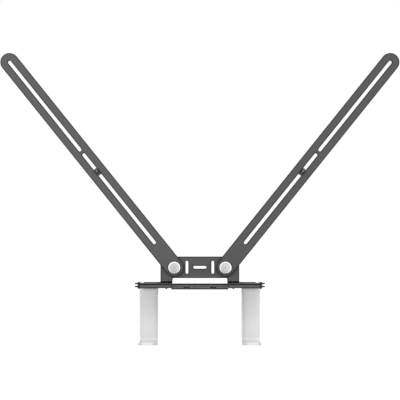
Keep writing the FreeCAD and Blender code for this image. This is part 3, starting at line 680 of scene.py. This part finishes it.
def hookCoat(side):
    plan = hookPlan
    board = Board("leftHookCoat" if side < 0 else "rightHookCoat")
    body = grey(coatSettings["paleTone"])
    x, y, z = board.axes(board.turned((plan["middle"] * side, 0, pivotHeight), 0))
    fine = board.noise(coatSettings["grain"], 2, rough=0.6)
    cloud = board.noise(18, 2)
    light = tuple(min(0.9, value * 1.05) for value in body)
    dim = tuple(value * 0.93 for value in body)
    colour = board.mix(cloud * 0.7 + fine * 0.3, dim, light)
    # Painted shade and light: darker at the top under the shelf, paler down to the foot, and the
    # bend under the tray painted paler
    low = (z + plan["foot"]).fade(0.0, plan["legHeight"])
    share = low * (coatSettings["paleFoot"] - coatSettings["paleTop"]) + coatSettings["paleTop"]
    under = (z + plan["top"]).fade(-0.001, 0.001)
    share = share * (plan["topShare"] - under * (plan["topShare"] - 1))
    # Painted light: paler towards the outer side, less so at the foot
    outward = (x / (plan["half"] * side)).between(-1, 1)
    paler, less = plan["outward"]
    share = share * (1 + outward * (paler - low * less))
    # Painted light on the outer edge, a painted highlight on the band where the leg bends forward
    # and on the lip face, and painted shade on the lip corners
    leg = (0 - y - plan["leg"]).fade(-0.002, 0.002)
    paler, less = plan["edge"]
    edge = (plan["half"] - x * side).fade(0.0005, 0.009)
    share = share * (1 + leg * edge * (paler - low * less))
    bent = (z + plan["bandLow"]).fade(-0.0004, 0.0004)
    start = (z + plan["bandTop"]).fade(-0.0004, 0.0004)
    share = share * (1 + leg * (start - bent) * plan["bandShare"])
    lip = (1 - leg) * (z + plan["lipTop"]).fade(-0.0004, 0.0004)
    outer = (plan["corner"] - x * side).fade(0, 0.0105) * plan["outerPaintedShade"]
    inner = (plan["corner"] + x * side).fade(0.004, 0.012) * plan["innerPaintedShade"]
    share = share * (1 + lip * (plan["lipShare"] - outer - inner))
    colour = board.scaled(colour, share)
    bump = board.bump(fine + board.noise(500, 2) * 0.5, 0.15, 0.0001)
    return board.finish(Base_Color=colour, Roughness=0.36 + fine * 0.1, Normal=bump,
                        Specular_IOR_Level=0.5)


def brightSteel():
    # Turned face: fine rings round each pivot, a painted highlight on the rim and painted shade
    # in the small centre recess
    board = Board("turnedSteel")
    x, y, z = board.axes(board.turned((0, 0, pivotHeight), 0))
    across = x.abs() - armPlan["pivot"]
    radius = (across * across + z * z).root()
    rings = (radius * 9000 + board.noise(300, 2) * 4).math("SINE") * 0.5 + 0.5
    speck = board.noise(1300, 3, rough=0.7)
    centre = radius.fade(0.0007, 0.0016)
    colour = board.mix(speck * 0.55 + rings * 0.45, (0.44, 0.44, 0.44), (0.68, 0.68, 0.675))
    rim = 1 - radius.fade(0.0084, 0.0104)
    colour = board.mix(rim, colour, (0.83, 0.83, 0.825))
    colour = board.mix(centre, colour, (0.36, 0.36, 0.36))
    bump = board.bump(rings * 0.6 + speck, 0.3, 0.00005)
    return board.finish(Base_Color=colour, Metallic=1.0, Roughness=0.34 + speck * 0.2,
                        Normal=bump)


def plainSteel(name, low, high, metallic, roughness):
    board = Board(name)
    cloud = board.noise(160, 4, rough=0.65)
    fine = board.noise(1900, 2)
    colour = board.mix(cloud, low, high)
    bump = board.bump(fine + cloud, 0.2, 0.00006)
    return board.finish(Base_Color=colour, Metallic=metallic,
                        Roughness=roughness + cloud * 0.18, Normal=bump)


def oiledThread(end, reach):
    # Dark thread with a painted highlight on its flat end, at y = end and x = reach on both
    # sides, set a little high
    board = Board("oiledThread")
    x, y, z = board.axes(board.place())
    cloud = board.noise(160, 4, rough=0.65)
    across = x.abs() - reach
    upper = z - 0.0009
    tipHighlight = (across * across + upper * upper).root().fade(0.0012, 0.0025)
    tipHighlight = tipHighlight * (y - end).fade(0.0002, 0.0006)
    colour = board.mix(cloud, (0.012, 0.012, 0.013), (0.026, 0.026, 0.028))
    colour = board.mix(tipHighlight, colour, (0.22, 0.22, 0.22))
    bump = board.bump(board.noise(1900, 2) + cloud, 0.2, 0.00006)
    return board.finish(Base_Color=colour, Metallic=0.2, Roughness=0.45 + cloud * 0.18,
                        Normal=bump)


finish = {
    "bright_steel": brightSteel(),
    "oiled_thread": oiledThread(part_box("left_screen_screw")[0].y,
                                armPlan["pivot"] + armPlan["screwAside"]),
    "zinc_steel": plainSteel("zincPlate", (0.42, 0.42, 0.43), (0.6, 0.6, 0.61), 1.0, 0.28),
    "black_steel": plainSteel("blackOxide", (0.04, 0.04, 0.045), (0.085, 0.085, 0.09), 0.55, 0.3),
    "nylon": plainSteel("blackNylon", (0.05, 0.05, 0.052), (0.075, 0.075, 0.078), 0.0, 0.45),
}


def coat(node, material):
    holder = frame["nodes"][node]
    holder.data.materials.clear()
    holder.data.materials.append(material)


washerCoat = darkCoat("washerCoat", "washerTone")
coat("back_plate", plateCoat())
coat("shelf_tray", trayCoat())
for side, name in ((-1, "left"), (1, "right")):
    coat(name + "_arm", armCoat(side))
    coat(name + "_hook", hookCoat(side))
    coat(name + "_pivot_washer", finish["nylon"])
    coat(name + "_lock_washer", finish["zinc_steel"])
    coat(name + "_screen_washer", washerCoat)
coat("end_spacers", finish["nylon"])
coat("shelf_spacers", finish["nylon"])
print("scene: coats on")
makeFasteners(finish)

# Floor, light and world

studio = {
    "floor": -0.8,
    "floorHalf": 8.0,
    "glow": 0.4,                # light that the floor seems to give off, seen from the camera
    "world": 0.72,
    "key": {"place": (-1.3, -1.5, 0.9), "size": 1.2, "power": 9},
    "fill": {"place": (0.9, -1.6, -0.5), "size": 1.6, "power": 5},
    "back": {"place": (0.3, 1.6, 0.9), "size": 1.4, "power": 8},
}


def seenWhite(board):
    # 1 for rays that show the background
    path = board.tree.nodes.new("ShaderNodeLightPath")
    rays = [Signal(board, path.outputs[name]) for name in
            ("Is Camera Ray", "Is Glossy Ray", "Is Transmission Ray")]
    return rays[0].most(rays[1]).most(rays[2])


def makeFloor(height):
    board = Board("floorPaper")
    paper = board.noise(3, 2)
    matt = board.add("ShaderNodeBsdfDiffuse", None, {
        "Color": board.mix(paper, (0.9, 0.9, 0.9), (0.93, 0.93, 0.93))})
    glow = board.add("ShaderNodeEmission", None, {
        "Color": (1, 1, 1, 1), "Strength": studio["glow"]})
    lit = board.add("ShaderNodeAddShader", None, (matt, glow))
    both = board.add("ShaderNodeMixShader", None, (seenWhite(board), matt, lit))
    board.tree.links.new(both.socket, board.output.inputs["Surface"])
    data = bpy.data.meshes.new("floor")
    half = studio["floorHalf"]
    data.from_pydata([(-half, -half, height), (half, -half, height), (half, half, height),
                      (-half, half, height)], [], [(0, 1, 2, 3)])
    data.materials.append(board.material)
    floor = bpy.data.objects.new("floor", data)
    bpy.context.scene.collection.objects.link(floor)


def makeWorld(strength):
    world = bpy.data.worlds.new("studio")
    world.use_nodes = True
    board = Board(tree=world.node_tree)
    board.tree.nodes.clear()
    seen = seenWhite(board)
    light = board.add("ShaderNodeBackground", None, {
        "Color": (1, 1, 1, 1), "Strength": seen * (1 - strength) + strength})
    out = board.tree.nodes.new("ShaderNodeOutputWorld")
    board.tree.links.new(light.socket, out.inputs["Surface"])
    bpy.context.scene.world = world


def makeLamp(name, plan):
    data = bpy.data.lights.new(name, "AREA")
    data.size = plan["size"]
    data.energy = plan["power"]
    lamp = bpy.data.objects.new(name, data)
    lamp.location = plan["place"]
    aim = Vector((0, 0, -0.1)) - Vector(plan["place"])
    lamp.rotation_euler = aim.to_track_quat("-Z", "Y").to_euler()
    bpy.context.scene.collection.objects.link(lamp)


makeFloor(studio["floor"])
makeWorld(studio["world"])
for name in ("key", "fill", "back"):
    makeLamp(name, studio[name])
bpy.context.scene.view_settings.view_transform = "Standard"
print("scene: studio set")
